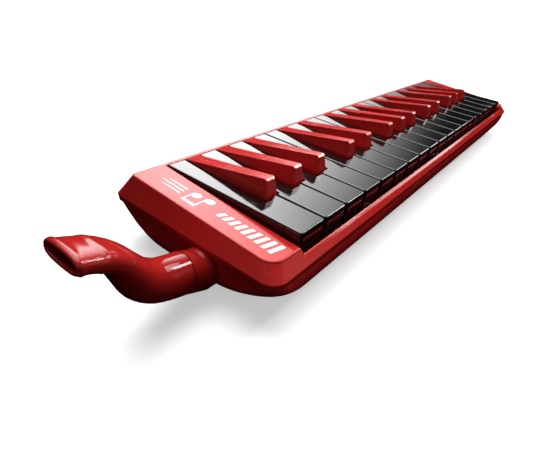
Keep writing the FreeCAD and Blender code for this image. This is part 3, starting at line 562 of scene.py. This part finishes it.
def outer_rings(bm):
    """The outside from the seam to the lip, with the crease and the bead standing proud."""
    rings = []
    for k in range(1, LIP * RINGS_PER_STATION + 1):
        t = k / RINGS_PER_STATION
        x, z, slope, wide, high, square = station(t)
        proud = CREASE_HIGH * max(0.0, 1.0 - abs(t - CREASE_AT) / CREASE_HALF)
        proud += BEAD_HIGH * math.exp(-((t - BEAD_AT) / BEAD_HALF) ** 2)
        rings.append(section(bm, x, z, slope, wide + proud, high + proud, square))
    return rings


def rim_rings(bm):
    """Half a turn over the wall's end, from the outside to the inside."""
    rings = []
    x, z, slope, wide, high, square = STATIONS[LIP]
    for k in range(1, RIM_STEPS):
        a = math.pi * k / RIM_STEPS
        inset = 0.5 * WALL * (1.0 - math.cos(a))
        out = 0.5 * WALL * math.sin(a)
        rings.append(section(bm, x, z, slope, wide - inset, high - inset, square, out))
    return rings


def hollow_rings(bm):
    """The inside from the slot back to the seam, narrowing to the bore."""
    rings = []
    for k in range(LIP * RINGS_PER_STATION, 0, -2):
        t = k / RINGS_PER_STATION
        x, z, slope, wide, high, square = station(t)
        opened = min(1.0, t / BORE_OPENS_BY)
        wide, high = (BORE + (size - WALL - BORE) * opened for size in (wide, high))
        rings.append(section(bm, x, z, slope, wide, max(THINNEST_HOLLOW, high), square))
    return rings


def add_mouthpiece(red):
    """One hollow moulding: spigot, round tube and wide lip, with a rolled rim round the slot."""
    bm = bmesh.new()
    x, z, slope = STATIONS[0][:3]
    rings = [section(bm, x, z, slope, r, r, 2.0, -inward) for r, inward in SPIGOT]
    rings += outer_rings(bm) + rim_rings(bm) + hollow_rings(bm)
    for one, other in zip(rings, rings[1:] + rings[:1]):
        for k in range(AROUND):
            j = (k + 1) % AROUND
            bm.faces.new((one[k], one[j], other[j], other[k]))
    bmesh.ops.recalc_face_normals(bm, faces=bm.faces)
    mesh = bpy.data.meshes.new("mouthpiece_moulding")
    bm.to_mesh(mesh)
    bm.free()
    mesh.shade_smooth()
    mesh.materials.append(red)
    piece = bpy.data.objects.new("mouthpiece_moulding", mesh)
    scene.collection.objects.link(piece)
    crisp = piece.modifiers.new("crisp", "EDGE_SPLIT")
    crisp.split_angle = math.radians(CRISP_EDGE)
    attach(piece, "mouthpiece")
    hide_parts("mouthpiece")


# ---------------------------------------------------------------- drain spring


def add_drain_spring():
    """The spring under the drain button, as a copy with a mesh of its own, fixed to the case."""
    node = nodes["drain_spring"]
    piece = bpy.data.objects.new("drain_coil", node.data.copy())
    piece.matrix_world = node.matrix_world.copy()
    scene.collection.objects.link(piece)
    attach(piece, "case")
    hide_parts("drain_spring")
    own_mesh(piece)


# ---------------------------------------------------------------- printed motif


PRINT_MIDDLE_X = -200.0 * MM  # along the bass cap, halfway between its edge and the keyboard
PRINT_THICKNESS = 0.03 * MM
PRINT_ROOT = 0.05 * MM  # how far the ink's underside sinks into the cap
ABOVE_COVER = 200.0 * MM
NOTE_AROUND = 20
NOTE_TILT = 22.0  # degrees


class Motif:
    """White print on the bass cap, in millimetres.

    u reads away from the player, and v points to the mouthpiece.
    """

    def __init__(self):
        self.bm = bmesh.new()
        depsgraph = bpy.context.evaluated_depsgraph_get()
        self.cover = BVHTree.FromObject(nodes["top_cover"], depsgraph)

    def surface(self, u, v):
        above = Vector((PRINT_MIDDLE_X - v * MM, u * MM, ABOVE_COVER))
        return self.cover.ray_cast(above, Vector((0, 0, -1)))[0]

    def shape(self, outline):
        """A closed shape printed on the surface, given as (u, v) points."""
        places = [self.surface(u, v) for u, v in outline]
        top = [self.bm.verts.new(p + Vector((0, 0, PRINT_THICKNESS))) for p in places]
        root = [self.bm.verts.new(p - Vector((0, 0, PRINT_ROOT))) for p in places]
        count = len(outline)
        self.bm.faces.new(top)
        self.bm.faces.new(list(reversed(root)))
        for i in range(count):
            k = (i + 1) % count
            self.bm.faces.new((root[i], root[k], top[k], top[i]))

    def bars(self, start, count, pitch, width, lean, tallest, shortest):
        """Leaning bars that grow shorter, like the reeds inside."""
        for i in range(count):
            u = start + i * pitch
            half = 0.5 * (tallest + (shortest - tallest) * i / (count - 1))
            low, high = u - lean, u + lean
            self.shape([(low, -half), (low + width, -half), (high + width, half), (high, half)])

    def lines(self, start, length, gap, thickness):
        """Three straight lines that taper away, the middle one longest."""
        half = thickness / 2
        for line in (-1, 0, 1):
            v, end = line * gap, start + length - abs(line) * gap
            self.shape([(start, v - half), (end, v - half * 0.4), (end, v + half * 0.4), (start, v + half)])

    def note(self, u, v, size, stem):
        """A filled note head with its stem.  Returns the stem's place along u."""
        tilt = math.radians(NOTE_TILT)
        head = []
        for i in range(NOTE_AROUND):
            a = math.tau * i / NOTE_AROUND
            x, y = size * 0.62 * math.cos(a), size * 0.46 * math.sin(a)
            across = x * math.cos(tilt) - y * math.sin(tilt)
            head.append((u + across, v + x * math.sin(tilt) + y * math.cos(tilt)))
        self.shape(head)
        half, low, high = size * 0.085, v + size * 0.1, v + stem
        edge = u + size * 0.52
        self.shape([(edge - half, low), (edge + half, low), (edge + half, high), (edge - half, high)])
        return edge

    def beamed_pair(self, heads, size, stem, beam_at, beam_depth, past_stems):
        """Two notes joined by a beam that reaches a little past the middle of each stem."""
        stems = [self.note(u, v, size, stem) for u, v in heads]
        left, right = stems[0] - past_stems, stems[1] + past_stems
        low = beam_at - beam_depth
        self.shape([(left, low), (right, low), (right, beam_at), (left, beam_at)])

    def finish(self, material):
        bmesh.ops.recalc_face_normals(self.bm, faces=self.bm.faces)
        mesh = bpy.data.meshes.new("cap_print")
        self.bm.to_mesh(mesh)
        self.bm.free()
        mesh.materials.append(material)
        piece = bpy.data.objects.new("cap_print", mesh)
        scene.collection.objects.link(piece)
        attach(piece, "case")


def add_cap_print():
    """Bars at the front of the cap, a beamed pair of notes, and three lines at the rear."""
    motif = Motif()
    motif.bars(start=-40.0, count=9, pitch=3.9, width=2.2, lean=0.9, tallest=8.2, shortest=4.2)
    heads = ((3.0, -3.2), (10.6, -2.2))
    motif.beamed_pair(heads, size=4.4, stem=7.6, beam_at=5.4, beam_depth=1.7, past_stems=0.37)
    motif.lines(start=17.0, length=15.0, gap=2.5, thickness=1.0)
    motif.finish(print_white())


# ---------------------------------------------------------------- the scene

scene.view_settings.view_transform = "Standard"
add_camera()
add_world()
add_floor()
for softbox, settings in SOFTBOXES.items():
    add_softbox(softbox, *settings)
finishes = dress_nodes()
add_mouthpiece(finishes["mouthpiece_red"])
add_drain_spring()
add_cap_print()
